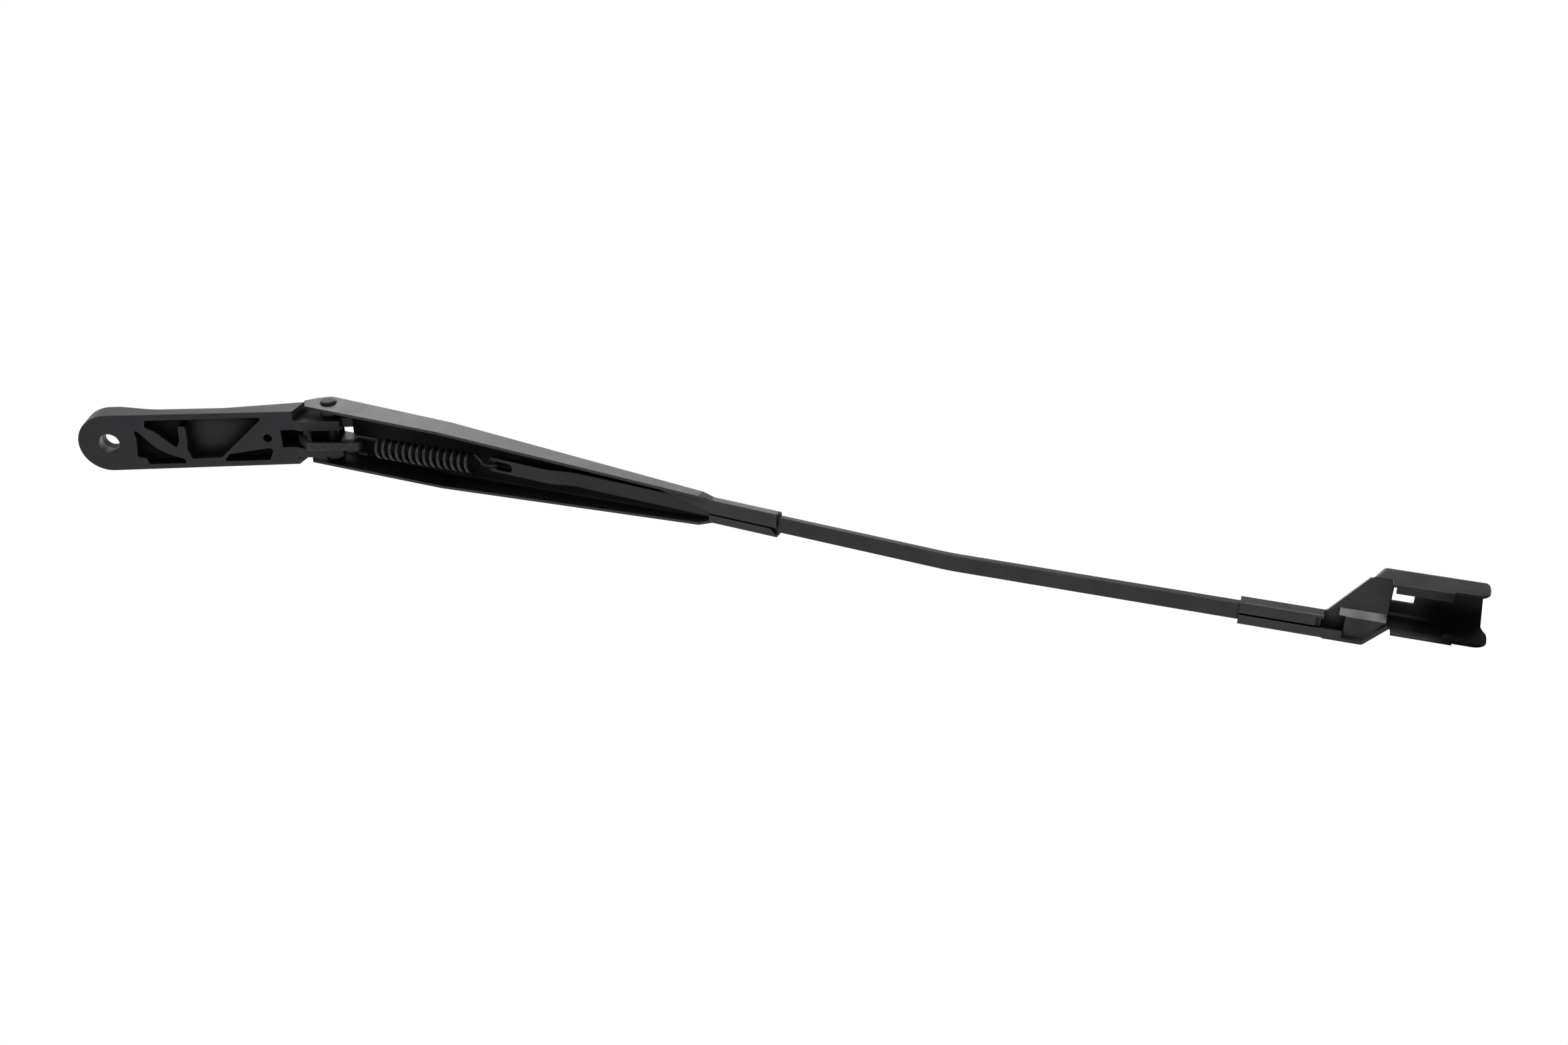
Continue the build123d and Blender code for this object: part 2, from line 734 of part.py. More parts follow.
# Spring link: a bowed strip that hooks the anchor pin and holds the spring's loop
anchor_point = Vector(anchor_x, 0, anchor_z)
bar_centre = fold_point(rod_inner_s + eye_bar / 2, rod_mid - rod_inner_drop)
pull = bar_centre - anchor_point
loop_point = anchor_point + pull.normalized() * link_reach
anchor_bend = anchor_radius + seat_clearance + link_thickness / 2
loop_sag = coil_radius - sqrt(coil_radius**2 - link_half_width**2)
loop_bend = wire_radius + loop_sag + seat_clearance + link_thickness / 2
lead = radians(link_lead_angle)
with BuildPart() as spring_link:
    with BuildSketch(Plane(origin=anchor_point, x_dir=(1, 0, 0), z_dir=(0, -1, 0))):
        with BuildLine():
            loop_x = loop_point.X - anchor_x
            loop_z = loop_point.Z - anchor_z
            anchor_hook = CenterArc((0, 0), anchor_bend, 80, 190 - link_lead_angle)
            bow_drop = -link_bow - (anchor_hook @ 1).Y
            bow_x = (anchor_hook @ 1).X + bow_drop / -sin(lead) * cos(lead)
            loop_low = (loop_x, loop_z - loop_bend)
            FilletPolyline(anchor_hook @ 1, (bow_x, -link_bow), loop_low, radius=link_thickness * 1.5)
            CenterArc((loop_x, loop_z), loop_bend, -90, 175)
        trace(line_width=link_thickness)
    extrude(amount=link_half_width, both=True)
spring_link.part.label = "spring_link"

# Tension spring: loop, coil and hook
span = bar_centre - loop_point
reach = hypot(span.X, span.Z)
pull_angle = atan2(span.Z, span.X) - asin(hook_radius / reach)
spring_along = Vector(cos(pull_angle), 0, sin(pull_angle))
shank_length = sqrt(reach**2 - hook_radius**2)
coil_end = shank_length - hook_straight - hook_crank
coil_length = coil_end - coil_start
coil_pitch = coil_length / coil_turns

# The spring is drawn along its own z axis, from the loop's closed end, with its hook turned up
with BuildPart() as spring_wire:
    with BuildLine() as coil_path:
        coil = Helix(coil_pitch, coil_length, coil_radius, center=(0, 0, coil_start))
    with BuildSketch(Plane(origin=coil @ 0, z_dir=coil % 0)):
        RegularPolygon(wire_radius, wire_sides)
    sweep(path=coil_path.wire(), is_frenet=True)
    with BuildLine() as loop_path:
        free_leg = Line((-coil_radius, 0, coil_start - 3 * wire_radius), (-coil_radius, 0, coil_radius))
        ThreePointArc(free_leg @ 1, (0, 0, 0), (coil_radius, 0, coil_radius))
        Line((coil_radius, 0, coil_radius), (coil_radius, 0, coil_start + wire_lap))
    with BuildSketch(Plane(origin=free_leg @ 0, z_dir=free_leg % 0)):
        RegularPolygon(wire_radius, wire_sides)
    sweep(path=loop_path.wire())
    with BuildLine() as hook_path:
        crank = FilletPolyline(
            (coil_radius + wire_lap, 0, coil_end - wire_lap),
            (0, 0, coil_end + hook_crank),
            (0, 0, shank_length),
            radius=hook_crank_bend,
        )
        ThreePointArc(
            crank @ 1,
            (0, -hook_radius, shank_length + hook_radius),
            (0, -2 * hook_radius, shank_length),
        )
    with BuildSketch(Plane(origin=crank @ 0, z_dir=crank % 0)):
        RegularPolygon(wire_radius, wire_sides)
    sweep(path=hook_path.wire())
spring_plane = Plane(origin=loop_point, x_dir=(0, -1, 0), z_dir=spring_along)
tension_spring = spring_plane.location * spring_wire.part
tension_spring.label = "tension_spring"

pieces = [
    mounting_head.part,
    anchor_pin.part,
    hinge_bush_left,
    hinge_bush_right,
    retainer.part,
    hinge_pin.part,
    rod.part,
    end_piece.part,
    spring_link.part,
    tension_spring,
]
for piece in pieces:
    export_step(piece, f"parts/{piece.label}.step")
    print(piece.label, round(piece.volume, 1))
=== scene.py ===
# %% Frame
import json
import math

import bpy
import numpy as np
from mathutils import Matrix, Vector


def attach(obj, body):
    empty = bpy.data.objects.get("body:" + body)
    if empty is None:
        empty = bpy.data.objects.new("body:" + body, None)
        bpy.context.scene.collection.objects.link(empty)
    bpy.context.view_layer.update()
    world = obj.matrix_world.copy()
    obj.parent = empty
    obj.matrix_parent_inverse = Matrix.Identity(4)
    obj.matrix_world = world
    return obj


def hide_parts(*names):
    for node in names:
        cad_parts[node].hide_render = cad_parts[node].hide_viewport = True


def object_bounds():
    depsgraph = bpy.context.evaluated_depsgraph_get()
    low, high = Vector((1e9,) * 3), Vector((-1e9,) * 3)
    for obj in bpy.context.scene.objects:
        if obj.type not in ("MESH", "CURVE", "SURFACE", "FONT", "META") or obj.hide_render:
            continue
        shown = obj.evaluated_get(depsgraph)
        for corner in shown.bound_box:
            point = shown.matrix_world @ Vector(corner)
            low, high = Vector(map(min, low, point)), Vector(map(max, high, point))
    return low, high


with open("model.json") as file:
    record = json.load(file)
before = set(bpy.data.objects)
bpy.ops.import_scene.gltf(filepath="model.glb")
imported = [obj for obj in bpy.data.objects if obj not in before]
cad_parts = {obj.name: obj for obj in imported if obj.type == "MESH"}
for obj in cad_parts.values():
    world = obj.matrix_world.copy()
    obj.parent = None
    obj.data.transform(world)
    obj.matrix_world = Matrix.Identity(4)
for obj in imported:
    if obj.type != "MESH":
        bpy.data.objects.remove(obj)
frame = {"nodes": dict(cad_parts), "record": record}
cad_low, cad_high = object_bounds()

# %% [markdown]
# # A windscreen wiper arm, seen from underneath
#
# The part is a cast head that clamps on a spindle, a pressed channel hinged to it, a coil spring inside
# the channel, a flat rod crimped into the channel's end and a pressed holder for the blade. All the rigid
# pieces come from the CAD model, in metres and already in place. Here they get their paint, their light
# and a camera, and the spring gets a smooth round wire.

scene = bpy.context.scene
scene.view_settings.view_transform = "Standard"
nodes = frame["nodes"]
record = frame["record"]
mm = 0.001
print("nodes from the CAD model:", ", ".join(sorted(nodes)))

# %% [markdown]
# ## Shader maths as plain Python
#
# A finish is mostly arithmetic on patterns: a mask times a colour, one minus a mask. Wiring Math nodes by
# hand hides that arithmetic, so a small class stands for one output socket and lets Python's own signs add
# the nodes. Every other node goes through one method, settings first and inputs after, because some
# settings change which inputs a node has.


# %% Socket class
class Pattern:
    """One output socket of a material. Arithmetic on it adds Math nodes to the same tree."""

    def __init__(self, socket):
        self.socket = socket
        self.tree = socket.id_data

    def node(self, kind, settings=None, inputs=None, output=0):
        """Add a node: its type, its settings, then values or links for its sockets."""
        made = self.tree.nodes.new(kind)
        for name, value in (settings or {}).items():
            setattr(made, name, value)
        for name, value in (inputs or {}).items():
            if isinstance(value, Pattern):
                self.tree.links.new(value.socket, made.inputs[name])
            else:
                made.inputs[name].default_value = value
        return Pattern(made.outputs[output])

    def math(self, operation, first, second=0.0):
        """A Math node on two values, either of which may be a number."""
        return self.node("ShaderNodeMath", {"operation": operation}, {0: first, 1: second})

    def __add__(self, other):
        return self.math("ADD", self, other)

    def __sub__(self, other):
        return self.math("SUBTRACT", self, other)

    def __rsub__(self, other):
        return self.math("SUBTRACT", other, self)

    def __mul__(self, other):
        return self.math("MULTIPLY", self, other)

    __radd__ = __add__
    __rmul__ = __mul__

    def step(self, low, high):
        """Smooth step: 0 below low, 1 above high, or the other way round where low is the larger."""
        settings = {"interpolation_type": "SMOOTHSTEP"}
        if low < high:
            return self.node("ShaderNodeMapRange", settings, {0: self, 1: low, 2: high})
        return 1 - self.node("ShaderNodeMapRange", settings, {0: self, 1: high, 2: low})

    def noise(self, size, detail=2.0, stretch=(1, 1, 1)):
        """Noise between 0 and 1 on these coordinates, with features of about the given size."""
        place = self.node("ShaderNodeMapping", None, {"Vector": self, "Scale": stretch})
        inputs = {"Vector": place, "Scale": 1 / size, "Detail": detail}
        return self.node("ShaderNodeTexNoise", None, inputs)

    def blend(self, low, high):
        """Colour that goes from low to high as this value goes from 0 to 1."""
        return self.node("ShaderNodeMix", {"data_type": "RGBA"}, {0: self, 6: low, 7: high}, 2)


print("signs that add Math nodes: + - *")

# %% [markdown]
# ## Colours and materials
#
# A grey picked on a screen isn't the number that a shader wants: the screen's scale is bent, and a shader
# adds up light on a straight one. The straight numbers could be typed in, but 0 to 255 is what an image
# editor shows, so a function turns one into the other. Two more helpers make a material and link patterns
# to its Principled shader.


# %% Colours and materials
def linear(red, green, blue):
    """A screen colour of 0 to 255 as the linear colour a shader takes."""
    share = np.array([red, green, blue]) / 255
    value = np.where(share <= 0.04045, share / 12.92, ((share + 0.055) / 1.055) ** 2.4)
    return (*value, 1.0)


def finish(name, **constants):
    """New material with its Principled shader's fixed values set; returns it and its Object coordinates."""
    material = bpy.data.materials.new(name)
    material.use_nodes = True
    shader = material.node_tree.nodes["Principled BSDF"]
    for key, value in constants.items():
        shader.inputs[key.replace("_", " ")].default_value = value
    coordinates = material.node_tree.nodes.new("ShaderNodeTexCoord")
    return material, Pattern(coordinates.outputs["Object"])


def feed(material, **patterns):
    """Link patterns to the Principled shader's sockets by name."""
    shader = material.node_tree.nodes["Principled BSDF"]
    for key, pattern in patterns.items():
        material.node_tree.links.new(pattern.socket, shader.inputs[key.replace("_", " ")])
    print("finish", material.name, "with", len(material.node_tree.nodes), "nodes")


print("a mid grey of 128 is", round(linear(128, 128, 128)[0], 3), "in linear light")

# %% [markdown]
# ## Edges and recesses
#
# Two masks go on a painted part. Paint draws back from sharp edges, so edges look thinner and paler, as on a
# used part. The second mask paints shade: recesses are darkened to nearly black and made dull, as where
# little light finds its way in. Both masks could be painted by hand on each mesh. A Bevel node and an
# Ambient Occlusion node find the same places on any mesh: the first compares the true normal with a rounded
# one, the second counts how many short rays get away.

# %% Edge and recess masks
edge_starts, edge_full = 0.995, 0.90


def edge_normal(place, radius):
    """Normal rounded over edges within the radius, and a mask that is 1 on those edges."""
    rounded = place.node("ShaderNodeBevel", {"samples": 6}, {"Radius": radius})
    true = place.node("ShaderNodeNewGeometry", None, None, "Normal")
    same = place.node("ShaderNodeVectorMath", {"operation": "DOT_PRODUCT"}, {0: rounded, 1: true}, "Value")
    return rounded, same.step(edge_starts, edge_full)


# The recess mask is used below to paint shade into recesses.
def recess(place, reach, lit=0.80, dark=0.30):
    """Mask of recesses: 0 where the lit share of rays within the reach gets away, 1 at the dark share."""
    settings = {"samples": 12, "only_local": False}
    openness = place.node("ShaderNodeAmbientOcclusion", settings, {"Distance": reach}, "AO")
    return openness.step(lit, dark)


print("masks: edges from a Bevel node, recesses from an Ambient Occlusion node")

# %% [markdown]
# ## Black paint
#
# Wiper arms are usually coated black and baked. Such paint is no mirror: the skin has a fine orange peel,
# the gloss wanders a little from place to place, and the black is a little cloudy. One recipe serves
# castings and pressings, with its own grain size for each, so that all the pieces look as if they went
# through the same paint shop.
#
# In a white room even black paint shines in its recesses, and in the photograph they don't. A darker colour
# can't mend that, because the shine doesn't take the paint's colour. So Metallic rises there: a metal
# mirrors in its own colour, which is nearly black in a recess. That is a trick, since paint isn't metal, and
# how dark each piece's recesses get was set by the photograph's tones.

# %% Paint recipe
painted_shade_black = linear(10, 10, 11)
thin_edge_grey = linear(104, 104, 108)
thin_edge_width = 0.45 * mm
cloud_size = 14 * mm
peel_depth = 0.03 * mm


def black_paint(name, greys, grain, peel, gloss, reach, openness=(0.80, 0.30), ior=1.42, lit_band=None):
    """Black paint: broad clouds and fine specks in the colour, wandering gloss, orange peel as bump.

    Recesses get painted shade, nearly black and dull, and a share of metal there, which mirrors in its own
    dark colour, takes the shine out of them. A lit band is four places along X: the painted shade in
    recesses is held back between the middle two, so they stay as pale as the open faces, and is full beyond
    the outer two.
    """
    material, place = finish(name, IOR=ior)
    rounded, edges = edge_normal(place, thin_edge_width)
    deep = recess(place, reach, *openness)
    if lit_band:
        x = place.node("ShaderNodeSeparateXYZ", None, {0: place}, "X")
        deep = deep * (1 - x.step(lit_band[0], lit_band[1]) * x.step(lit_band[3], lit_band[2]))
    clouds = place.noise(cloud_size, 4)
    specks = place.noise(grain, 3)
    skin = (0.55 * clouds + 0.45 * specks).step(0.25, 0.75).blend(*greys)
    # Painted shade: the recess mask darkens the colour of recesses to nearly black, and Roughness and
    # Metallic below take their shine.
    skin = (0.85 * deep).blend(skin, painted_shade_black)
    thin = edges * (1 - deep) * (0.1 + 0.2 * clouds.step(0.35, 0.65))
    height = 0.8 * place.noise(peel, 2) + 0.2 * specks
    relief = {"Strength": 0.25, "Distance": peel_depth, "Height": height, "Normal": rounded}
    patterns = {
        "Base_Color": thin.blend(skin, thin_edge_grey),
        "Roughness": gloss + 0.16 * (clouds - 0.5) + 0.10 * (specks - 0.5) + 0.3 * deep,
        "Metallic": 0.5 * deep,
        "Normal": place.node("ShaderNodeBump", None, relief),
    }
    return material, place, patterns


print("paint recipe: recesses", painted_shade_black[0].round(4), "edges", thin_edge_grey[0].round(4))

# %% [markdown]
# ## Paint on the pressed sheet and the rod
#
# The channel and the blade holder are pressed from sheet steel and the rod is flat bar, so their skin is
# smooth and the paint's grain is fine. They could share one material. They get one each, because in the
# photograph the rod is a little paler and less shiny, and the inside of the channel is darker, which the
# channel's paint gets as stronger painted shade in its recesses.

# %% Paint on the rod and the channel
sheet_coat = {
    "greys": (linear(45, 45, 47), linear(63, 63, 66)),
    "grain": 0.5 * mm,
    "peel": 0.9 * mm,
    "gloss": 0.36,
    "reach": 22 * mm,
}
rod_coat = sheet_coat | {"greys": (linear(48, 48, 50), linear(66, 66, 69))}
rod_paint, _, patterns = black_paint("rod_paint", **rod_coat, ior=1.32)
feed(rod_paint, **patterns)
channel_paint, _, patterns = black_paint("channel_paint", **sheet_coat, openness=(0.96, 0.55))
feed(channel_paint, **patterns)

# %% [markdown]
# ## Paint on the blade holder
#
# The hood of the holder is a deep box. In the photograph its inside is about as pale as open faces next to
# the latch window, and nearly black on the far wall towards the tip. The masks paint that shade, following
# the tones: one holds the painted recess shade back next to the window, where light gets in, and a second
# recess mask paints more shade on the far wall. A blade that slides in and out and old grease could be the
# cause, but that is a guess, so the masks only follow the tones: one holds the recess mask back next to the
# window, and a second recess mask adds to it on the far wall. Both could be painted on the mesh. Bands
# along X and Y need no UV map, and the record says where the window is.

# %% Paint on the blade holder
window = next(opening for opening in record["physics"]["openings"] if opening["name"] == "latch_window")
window_low, window_high = [corner[0] for corner in window["box_m"]]
# Along this stretch next to the window the painted recess shade is held back.
pale_stretch = (window_low - 19 * mm, window_low - 11 * mm, window_low, window_high + 12 * mm)
holder_paint, place, patterns = black_paint(
    "holder_paint", **sheet_coat, openness=(0.88, 0.45), lit_band=pale_stretch
)
x = place.node("ShaderNodeSeparateXYZ", None, {0: place}, "X")
y = place.node("ShaderNodeSeparateXYZ", None, {0: place}, "Y")
far_wall_from, far_wall_to = -14 * mm, -8 * mm
at_tip = x.step(window_high, window_high + 10 * mm) * y.step(far_wall_from, far_wall_to)
# Painted shade on the hood's far wall: a second recess mask darkens it nearly to black, roughens it and
# takes its shine with Metallic.
far_wall_shade = recess(place, sheet_coat["reach"], lit=0.99, dark=0.78) * at_tip
patterns["Base_Color"] = (0.9 * far_wall_shade).blend(patterns["Base_Color"], painted_shade_black)
patterns["Roughness"] = patterns["Roughness"] + 0.2 * far_wall_shade
patterns["Metallic"] = 0.6 * patterns["Metallic"] + 0.4 * far_wall_shade
feed(holder_paint, **patterns)
print("recesses of the holder stay pale along X, mm:", [round(spot / mm) for spot in pale_stretch])

# %% [markdown]
# ## Paint on the casting and the rivet
#
# The head is a die casting, with a coarser skin than sheet. The wall of its spindle hole looks like bare
# metal, as in a hole that is reamed after painting. That could be a second material on those faces. A mask
# on the distance from the spindle axis, which is the object's own Z axis, needs no faces to be picked.
# Fine turned rings run across the bare metal.
#
# Two more masks follow the photograph's tones and deal with painted shade: the wall of the hole gets painted
# shade towards its lower mouth, and the painted recess shade is held back at the noses of the prongs, just
# past the hinge, where light gets in, so they stay as pale as open faces. The rivet at the hinge is painted
# too, and is a little browner than the rest.

# %% Paint on the casting
joints = {joint["name"]: np.array(joint["pos_m"]) for joint in record["behaviour"]["joints"]}
hinge_x = joints["arm_lift"][0]
# At the noses of the prongs the painted recess shade is held back.
noses = (hinge_x + 4 * mm, hinge_x + 6.5 * mm, hinge_x + 13 * mm, hinge_x + 16 * mm)
print("recesses at the noses stay pale along X, mm:", [round(spot / mm, 1) for spot in noses])
cast_paint, place, patterns = black_paint(
    "cast_paint",
    greys=(linear(36, 36, 39), linear(56, 56, 61)),
    grain=0.8 * mm,
    peel=1.4 * mm,
    gloss=0.47,
    reach=16 * mm,
    openness=(0.88, 0.42),
    lit_band=noses,
)

# %% Bare spindle hole
spindle = next(mount for mount in record["mounts"] if mount["name"] == "spindle_bore")
bore_radius = spindle["dims"]["r_mm"] * mm
flat = place.node("ShaderNodeVectorMath", {"operation": "MULTIPLY"}, {0: place, 1: (1, 1, 0)})
from_axis = place.node("ShaderNodeVectorMath", {"operation": "LENGTH"}, {0: flat}, "Value")
bare = from_axis.step(bore_radius + 0.2 * mm, bore_radius + 0.05 * mm)
ring_pitch = 0.35 * mm
ring_stretch = (0.02, 0.02, 1)
rings = place.noise(ring_pitch, 2, ring_stretch)
metal = rings.blend(linear(62, 62, 63), linear(86, 86, 87))
z = place.node("ShaderNodeSeparateXYZ", None, {0: place}, "Z")
# Painted shade: the bare wall of the hole darkens towards its lower mouth, in colour and with Metallic.
dark_from, dark_to = 7.0 * mm, 1.5 * mm
mouth_shade = 0.9 * z.step(dark_from, dark_to)
metal = mouth_shade.blend(metal, painted_shade_black)
feed(
    cast_paint,
    Base_Color=bare.blend(patterns["Base_Color"], metal),
    Roughness=patterns["Roughness"] * (1 - bare) + bare * (0.42 + 0.15 * rings),
    Metallic=patterns["Metallic"] * (1 - bare) + bare * (0.35 + 0.65 * mouth_shade),
    Normal=patterns["Normal"],
)
print("bare bore radius, mm:", round(bore_radius / mm, 2))

# %% Paint on the rivet
rivet_paint, _, patterns = black_paint(
    "rivet_paint",
    greys=(linear(24, 18, 18), linear(38, 30, 30)),
    grain=0.3 * mm,
    peel=0.6 * mm,
    gloss=0.5,
    reach=6 * mm,
)
feed(rivet_paint, **patterns)

# %% [markdown]
# ## Link, anchor pin and bushes
#
# The link looks like plated strip and the anchor pin like a ground pin, both dull grey with fine draw lines
# and stains. The two spacer rings at the hinge look like a grey bearing plastic, faintly mottled. Flat
# greys would do at this distance, but the stains break up the highlights, which is what makes metal look
# like metal close up.

# %% Grey metals
rubbed_grey = linear(190, 188, 184)
rubbed_edge_width = 0.25 * mm
stain_size = 3 * mm
draw_line_width = 0.25 * mm
draw_line_stretch = (0.08, 1, 1)
draw_line_depth = 0.01 * mm


def grey_steel(name, dark, pale, gloss, metallic):
    """Dull steel: stains and fine lines along X as colour and gloss, with paler edges."""
    material, place = finish(name, Metallic=metallic)
    rounded, edges = edge_normal(place, rubbed_edge_width)
    stains = place.noise(stain_size, 5)
    lines = place.noise(draw_line_width, 3, draw_line_stretch)
    tone = (0.6 * stains + 0.4 * lines).step(0.25, 0.8)
    colour = (edges * 0.4).blend(tone.blend(dark, pale), rubbed_grey)
    roughness = gloss + 0.2 * (stains - 0.5) + 0.15 * (lines - 0.5)
    relief = {"Strength": 0.2, "Distance": draw_line_depth, "Height": lines, "Normal": rounded}
    feed(material, Base_Color=colour, Roughness=roughness, Normal=place.node("ShaderNodeBump", None, relief))
    return material


link_steel = grey_steel("plated_link_steel", linear(44, 44, 47), linear(76, 76, 80), 0.42, 0.6)
pin_steel = grey_steel("pin_steel", linear(46, 45, 44), linear(72, 71, 69), 0.45, 0.5)

# %% Bearing plastic
bush_edge_width = 0.3 * mm
mottle_size = 1.2 * mm
bush_plastic, place = finish("bush_plastic", IOR=1.48)
rounded, _ = edge_normal(place, bush_edge_width)
mottle = place.noise(mottle_size, 4)
bush_tone = mottle.step(0.3, 0.7).blend(linear(70, 70, 73), linear(92, 92, 95))
feed(bush_plastic, Base_Color=bush_tone, Roughness=0.4 + 0.2 * mottle, Normal=rounded)

# %% [markdown]
# ## Dressing the CAD pieces
#
# Each CAD piece keeps its mesh and its place and only changes its material slot. That could be done piece
# by piece in the Material tab. A table of names says the same in one look, and a piece that is missing
# from it is easy to spot.

# %% Dress the CAD nodes
dress = {
    "mounting_head": cast_paint,
    "retainer": channel_paint,
    "rod": rod_paint,
    "end_piece": holder_paint,
    "hinge_pin": rivet_paint,
    "anchor_pin": pin_steel,
    "hinge_bush_left": bush_plastic,
    "hinge_bush_right": bush_plastic,
    "spring_link": link_steel,
}
for name, material in dress.items():
    nodes[name].data.materials.clear()
    nodes[name].data.materials.append(material)
print("dressed", len(dress), "nodes")

# %% [markdown]
# ## Spring wire
#
# A tension spring is one length of round wire: a loop, an open row of turns and a hook. The CAD model gives
# it a coarse wire. A curve object with a round bevel would smooth it, but a profile carried along a path in
# numpy also knows how far along the wire each point is and which side faces out of the coil, and the finish
# uses both.


# %% Wire as a profile along a path
def tube(path, facing, radius, sides):
    """Circle carried along a path: point(i, j) = path_i + r_i (cos a_j n_i + sin a_j b_i).

    n is the facing direction made square to the path's tangent, b is square to both, and r is the wire's
    radius, drawn in to a small flat at each end so that the cut ends look sheared.
    """
    tangent = np.gradient(path, axis=0)
    tangent /= np.linalg.norm(tangent, axis=1, keepdims=True)
    normal = facing - tangent * np.sum(facing * tangent, axis=1, keepdims=True)
    normal /= np.linalg.norm(normal, axis=1, keepdims=True)
    binormal = np.cross(tangent, normal)
    length = np.r_[0, np.cumsum(np.linalg.norm(np.diff(path, axis=0), axis=1))]
    to_end = np.clip(np.minimum(length, length[-1] - length) / (0.4 * radius), 0, 1)
    ring_radius = radius * np.sqrt(1 - 0.75 * (1 - to_end) ** 2)
    angle = np.linspace(0, 2 * np.pi, sides, endpoint=False)
    cosine, sine = np.cos(angle)[None, :, None], np.sin(angle)[None, :, None]
    circle = cosine * normal[:, None] + sine * binormal[:, None]
    points = path[:, None] + ring_radius[:, None, None] * circle
    i, j = np.meshgrid(np.arange(len(path) - 1), np.arange(sides), indexing="ij")
    k = (j + 1) % sides
    quads = np.stack([i * sides + j, i * sides + k, (i + 1) * sides + k, (i + 1) * sides + j], -1)
    ends = [list(range(sides))[::-1], list(range(len(path) * sides - sides, len(path) * sides))]
    values = {"along": np.repeat(length, sides), "outward": np.tile(np.cos(angle), len(path))}
    return points.reshape(-1, 3), quads.reshape(-1, 4).tolist() + ends, values


wire_radius = 0.95 * mm
wire_sides = 20
print("wire of", 2 * wire_radius / mm, "mm with", wire_sides, "sides")

# %% [markdown]
# ## Where the spring pulls
#
# One end of the spring hangs on the link and the other hooks round a bar at the rod's inner end. The link
# swings on the anchor pin until it lies in the line of pull, so both ends follow from the joints in the
# record and a few sizes of the CAD model. The hook goes round the bar to one side, so the spring's axis
# runs past the bar by the hook's radius.

# %% Line of pull
fold = math.radians(29.3)
along_channel = np.array([math.cos(fold), 0, -math.sin(fold)])
above_channel = np.array([math.sin(fold), 0, math.cos(fold)])
rod_thickness = 3.0 * mm
bar_width = 3.0 * mm
bar_from_hinge = 93.0 * mm
rod_height = 6.0 * mm
link_reach = 26.2 * mm
hook_clearance = 0.12 * mm
hook_headroom = 0.3 * mm
hook_radius = math.hypot(bar_width, rod_thickness) / 2 + wire_radius + hook_clearance
bar_height = rod_height - (hook_radius + wire_radius + hook_headroom - rod_thickness / 2)
bar = joints["arm_lift"] + along_channel * bar_from_hinge + above_channel * bar_height
anchor = joints["link_swing"]
loop_point = anchor + (bar - anchor) / np.linalg.norm(bar - anchor) * link_reach
span = bar - loop_point
span_length = np.linalg.norm(span)
shank = math.sqrt(span_length**2 - hook_radius**2)
pull_angle = math.atan2(span[2], span[0]) - math.asin(hook_radius / span_length)
print("pull angle", round(math.degrees(pull_angle), 3), "from", (loop_point / mm).round(3), "mm")

# %% [markdown]
# ## The spring's path
#
# The wire runs in one line: a short free leg, the loop, a straight shank, the turns, a crank in to the axis
# and the hook. Each stretch could be a curve of its own, but joined curves show where they meet. Here each
# stretch is an array of points in the spring's own axes, with z along the pull, and one array holds them
# all.

# %% Spring sizes
coil_radius = 4.2 * mm
coil_start = 13.7 * mm
crank_run = 5.0 * mm
hook_straight = 2.6 * mm
coil_end = shank - hook_straight - crank_run
free_leg = 2.4 * mm
turns = 14
turn_points = 40
crank_points = 24
shank_points = 16
leg_points = 6
print("coil from", round(coil_start / mm, 1), "to", round(coil_end / mm, 1), "mm along the pull")


# %% Spring path as one array
def straight(start, end, count):
    """Points from start to end, the last one left out."""
    return np.linspace(start, end, count, endpoint=False)


bend = np.linspace(np.pi, 0, turn_points, endpoint=False)
loop = np.stack([coil_radius * np.cos(bend), 0 * bend, coil_radius - coil_radius * np.sin(bend)], 1)
share = np.linspace(0, 1, turns * turn_points, endpoint=False)
round_axis = 2 * np.pi * turns * share
coil_height = coil_start + share * (coil_end - coil_start)
coil = np.stack([coil_radius * np.cos(round_axis), coil_radius * np.sin(round_axis), coil_height], 1)
ease = np.linspace(0, 1, crank_points, endpoint=False)
smooth = ease * ease * (3 - 2 * ease)
crank = np.stack([coil_radius * (1 - smooth), 0 * ease, coil_end + crank_run * ease], 1)
curl = np.linspace(0, np.pi, turn_points)
hook = np.stack([0 * curl, hook_radius * (np.cos(curl) - 1), shank + hook_radius * np.sin(curl)], 1)
path = np.concatenate([
    straight((-coil_radius, 0, coil_radius + free_leg), (-coil_radius, 0, coil_radius), leg_points),
    loop,
    straight((coil_radius, 0, coil_radius), (coil_radius, 0, coil_start), shank_points),
    coil,
    crank,
    straight((0, 0, coil_end + crank_run), (0, 0, shank), leg_points),
    hook,
])
print("wire length, mm:", round(np.linalg.norm(np.diff(path, axis=0), axis=1).sum() / mm, 1))

# %% [markdown]
# ## Finish of the wire
#
# Spring wire is dull grey, with bands from drawing that follow the wire. In the photograph its loop end has
# an olive tint, as dried oil and grease would give, and the inside of the coil is nearly black. That black
# is painted shade, from a recess mask and a mask from the outward value, and the bands are noise on the
# length along the wire, which no texture on Object coordinates could follow round the coil.

# %% Wire finish
coil_shade_black = linear(8, 8, 8)
olive_from, olive_to = 32 * mm, 26 * mm
band_length = 2.5 * mm
band_depth = 0.01 * mm
wire_stain_size = 4 * mm
wire_recess_reach = 6 * mm


